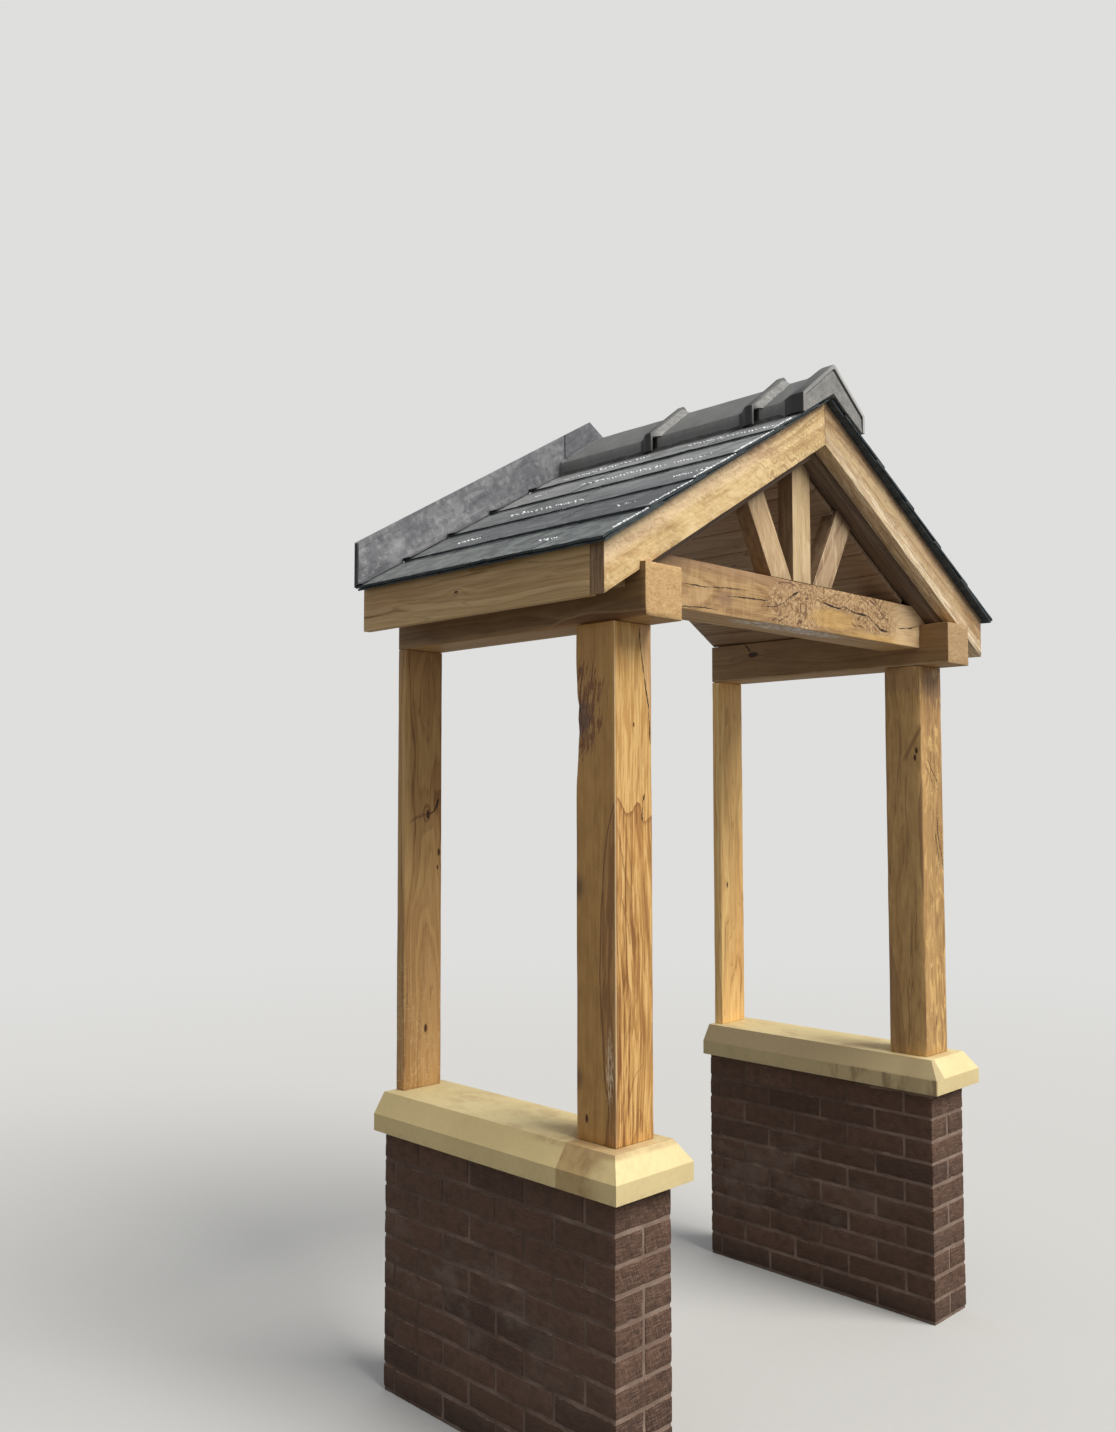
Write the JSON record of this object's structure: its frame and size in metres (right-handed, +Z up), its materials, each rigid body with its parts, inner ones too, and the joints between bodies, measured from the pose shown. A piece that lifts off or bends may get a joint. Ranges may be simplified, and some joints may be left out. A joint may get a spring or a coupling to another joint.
{
  "type": "porch canopy",
  "caption": "Gabled oak porch canopy on brick dwarf walls with stone copings, slate roof, ridge tiles and lead flashing, standing against a facade over a doorway.",
  "frame": {"origin": "bottom centre of the bounding box: midway between the walls, on the ground, half way from the back plane to the front of the roof", "axes": "+X to the right seen from the front, +Y toward the facade it stands against, +Z up"},
  "size_m": [2.056, 1.04, 3.132],
  "materials": {
    "brick": "matte",
    "cast_stone": "matte",
    "oak": "satin",
    "ceiling_oak": "satin",
    "roof_timber": "matte",
    "slate": "satin",
    "ridge_tile": "matte",
    "lead": "satin"
  },
  "bodies": {
    "root": {"left_dwarf_wall": "brick", "right_dwarf_wall": "brick", "left_coping": "cast_stone", "right_coping": "cast_stone", "front_left_post": "oak", "front_right_post": "oak", "rear_left_post": "oak", "rear_right_post": "oak", "left_wall_plate": "oak", "right_wall_plate": "oak", "front_tie_beam": "oak", "king_post": "oak", "left_strut": "oak", "right_strut": "oak", "front_left_rafter": "oak", "front_right_rafter": "oak", "left_fascia": "oak", "right_fascia": "oak", "left_bargeboard": "oak", "right_bargeboard": "oak", "middle_left_rafter": "roof_timber", "middle_right_rafter": "roof_timber", "rear_left_rafter": "roof_timber", "rear_right_rafter": "roof_timber", "ridge_board": "roof_timber", "left_roof_boards": "roof_timber", "right_roof_boards": "roof_timber", "left_eaves_board": "roof_timber", "right_eaves_board": "roof_timber", "left_ceiling_boards": "ceiling_oak", "right_ceiling_boards": "ceiling_oak", "left_slates": "slate", "right_slates": "slate", "rear_ridge_tile": "ridge_tile", "middle_ridge_tile": "ridge_tile", "front_ridge_tile": "ridge_tile", "rear_ridge_union": "ridge_tile", "middle_ridge_union": "ridge_tile", "ridge_end_cap": "ridge_tile", "left_flashing": "lead", "right_flashing": "lead", "ridge_flashing": "lead"}
  },
  "joints": []
}
